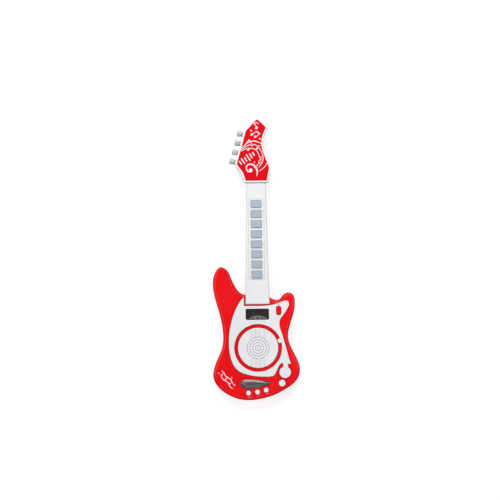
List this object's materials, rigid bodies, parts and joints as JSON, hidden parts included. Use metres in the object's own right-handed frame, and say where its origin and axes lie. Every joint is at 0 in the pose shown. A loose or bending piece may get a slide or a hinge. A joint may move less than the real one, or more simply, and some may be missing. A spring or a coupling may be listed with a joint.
{
  "type": "toy electric guitar",
  "caption": "Child's battery toy guitar: red body, white neck with push keys, round speaker, light window, rocker, buttons and turning pegs.",
  "frame": {"origin": "centre of the bottom of the whole guitar's box, on the plane of its flat back", "axes": "+Y along the neck towards the headstock, +Z out of the playing face, +X to the right as the face is seen"},
  "size_m": [0.1688, 0.5482, 0.0413],
  "materials": {
    "red_plastic": "glossy moulded plastic, bright red",
    "white_plastic": "semi-gloss moulded plastic, white",
    "smoked_plastic": "clear plastic tinted dark smoke, polished",
    "lamp_plastic": "cast lamp resin, milky",
    "circuit_board": "green solder mask",
    "black_chips": "moulded black chip packages",
    "black_steel": "black painted pressed steel",
    "ferrite": "grey ferrite and steel",
    "speaker_paper": "black paper cone",
    "silicone": "translucent silicone",
    "cell_jacket": null,
    "plated_spring": "nickel plated spring steel",
    "grey_wire": "grey cable jacket",
    "red_wire": "red wire jacket",
    "black_wire": "black wire jacket",
    "screw_steel": "zinc plated steel",
    "button_plastic": "glossy white plastic",
    "key_plastic": "satin blue-grey plastic",
    "peg_plastic": "grey plastic with a soft sheen"
  },
  "bodies": {
    "guitar": {"body_front_shell": "red_plastic", "body_back_shell": "red_plastic", "headstock_plate": "red_plastic", "pickguard": "white_plastic", "speaker_grille": "white_plastic", "neck_front_shell": "white_plastic", "neck_back_shell": "white_plastic", "headstock_front_shell": "white_plastic", "headstock_back_shell": "white_plastic", "light_tray": "white_plastic", "light_window": "smoked_plastic", "strum_lens": "smoked_plastic", "lamps": "lamp_plastic", "light_board": "circuit_board", "main_board": "circuit_board", "rocker_board": "circuit_board", "key_board": "circuit_board", "board_chips": "black_chips", "rocker_contacts": "black_chips", "speaker_basket": "black_steel", "speaker_magnet": "ferrite", "speaker_cone": "speaker_paper", "button_mat": "silicone", "key_mat": "silicone", "batteries": "cell_jacket", "battery_contacts": "plated_spring", "neck_cable": "grey_wire", "speaker_wires": "red_wire", "battery_wires": "black_wire", "body_screws": "screw_steel", "neck_joint_screws": "screw_steel", "neck_screws": "screw_steel", "headstock_screws": "screw_steel", "tenon_screws": "screw_steel", "key_board_screws": "screw_steel", "main_board_screws": "screw_steel", "light_tray_screws": "screw_steel", "rocker_board_screws": "screw_steel", "speaker_screws": "screw_steel"},
    "note_key_1": {"key_1": "key_plastic"},
    "note_key_2": {"key_2": "key_plastic"},
    "note_key_3": {"key_3": "key_plastic"},
    "note_key_4": {"key_4": "key_plastic"},
    "note_key_5": {"key_5": "key_plastic"},
    "note_key_6": {"key_6": "key_plastic"},
    "note_key_7": {"key_7": "key_plastic"},
    "note_key_8": {"key_8": "key_plastic"},
    "button_1_body": {"button_1": "button_plastic"},
    "button_2_body": {"button_2": "button_plastic"},
    "button_3_body": {"button_3": "button_plastic"},
    "play_button_body": {"play_button": "button_plastic"},
    "rocker": {"rocker_switch": "red_plastic"},
    "tuning_peg_1": {"peg_1": "peg_plastic"},
    "tuning_peg_2": {"peg_2": "peg_plastic"},
    "tuning_peg_3": {"peg_3": "peg_plastic"},
    "tuning_peg_4": {"peg_4": "peg_plastic"},
    "battery_cover": {"battery_door": "red_plastic", "battery_door_screw": "screw_steel"}
  },
  "joints": [
    {"name": "key_1_press", "type": "slide", "parent": "guitar", "child": "note_key_1", "axis": [0, 0, -1], "range_m": [0, 0.0015], "stiffness_N_per_m": 400, "springref_m": -0.0005, "deforming": ["key_mat"]},
    {"name": "key_2_press", "type": "slide", "parent": "guitar", "child": "note_key_2", "axis": [0, 0, -1], "range_m": [0, 0.0015], "stiffness_N_per_m": 400, "springref_m": -0.0005, "deforming": ["key_mat"]},
    {"name": "key_3_press", "type": "slide", "parent": "guitar", "child": "note_key_3", "axis": [0, 0, -1], "range_m": [0, 0.0015], "stiffness_N_per_m": 400, "springref_m": -0.0005, "deforming": ["key_mat"]},
    {"name": "key_4_press", "type": "slide", "parent": "guitar", "child": "note_key_4", "axis": [0, 0, -1], "range_m": [0, 0.0015], "stiffness_N_per_m": 400, "springref_m": -0.0005, "deforming": ["key_mat"]},
    {"name": "key_5_press", "type": "slide", "parent": "guitar", "child": "note_key_5", "axis": [0, 0, -1], "range_m": [0, 0.0015], "stiffness_N_per_m": 400, "springref_m": -0.0005, "deforming": ["key_mat"]},
    {"name": "key_6_press", "type": "slide", "parent": "guitar", "child": "note_key_6", "axis": [0, 0, -1], "range_m": [0, 0.0015], "stiffness_N_per_m": 400, "springref_m": -0.0005, "deforming": ["key_mat"]},
    {"name": "key_7_press", "type": "slide", "parent": "guitar", "child": "note_key_7", "axis": [0, 0, -1], "range_m": [0, 0.0015], "stiffness_N_per_m": 400, "springref_m": -0.0005, "deforming": ["key_mat"]},
    {"name": "key_8_press", "type": "slide", "parent": "guitar", "child": "note_key_8", "axis": [0, 0, -1], "range_m": [0, 0.0015], "stiffness_N_per_m": 400, "springref_m": -0.0005, "deforming": ["key_mat"]},
    {"name": "button_1_press", "type": "slide", "parent": "guitar", "child": "button_1_body", "axis": [0, 0, -1], "range_m": [0, 0.0012], "stiffness_N_per_m": 400, "springref_m": -0.0005, "deforming": ["button_mat"]},
    {"name": "button_2_press", "type": "slide", "parent": "guitar", "child": "button_2_body", "axis": [0, 0, -1], "range_m": [0, 0.0012], "stiffness_N_per_m": 400, "springref_m": -0.0005, "deforming": ["button_mat"]},
    {"name": "button_3_press", "type": "slide", "parent": "guitar", "child": "button_3_body", "axis": [0, 0, -1], "range_m": [0, 0.0012], "stiffness_N_per_m": 400, "springref_m": -0.0005, "deforming": ["button_mat"]},
    {"name": "play_button_press", "type": "slide", "parent": "guitar", "child": "play_button_body", "axis": [0, 0, -1], "range_m": [0, 0.0012], "stiffness_N_per_m": 400, "springref_m": -0.0005, "deforming": ["button_mat"]},
    {"name": "rocker_tilt", "type": "hinge", "parent": "guitar", "child": "rocker", "pos_m": [0.04439, -0.09992, 0.0324], "axis": [1, 0, 0], "range_deg": [-5, 5], "stiffness_Nm_per_rad": 0.05},
    {"name": "peg_1_turn", "type": "hinge", "parent": "guitar", "child": "tuning_peg_1", "pos_m": [-0.03598, 0.18861, 0.03], "axis": [-0.9616, 0.2745, 0], "continuous": true},
    {"name": "peg_2_turn", "type": "hinge", "parent": "guitar", "child": "tuning_peg_2", "pos_m": [-0.03087, 0.2065, 0.03], "axis": [-0.9616, 0.2745, 0], "continuous": true},
    {"name": "peg_3_turn", "type": "hinge", "parent": "guitar", "child": "tuning_peg_3", "pos_m": [-0.02576, 0.22438, 0.03], "axis": [-0.9616, 0.2745, 0], "continuous": true},
    {"name": "peg_4_turn", "type": "hinge", "parent": "guitar", "child": "tuning_peg_4", "pos_m": [-0.02066, 0.24227, 0.03], "axis": [-0.9616, 0.2745, 0], "continuous": true},
    {"name": "battery_door_open", "type": "hinge", "parent": "guitar", "child": "battery_cover", "pos_m": [0.00359, -0.18852, 0.0019], "axis": [1, 0, 0], "range_deg": [0, 80]}
  ]
}
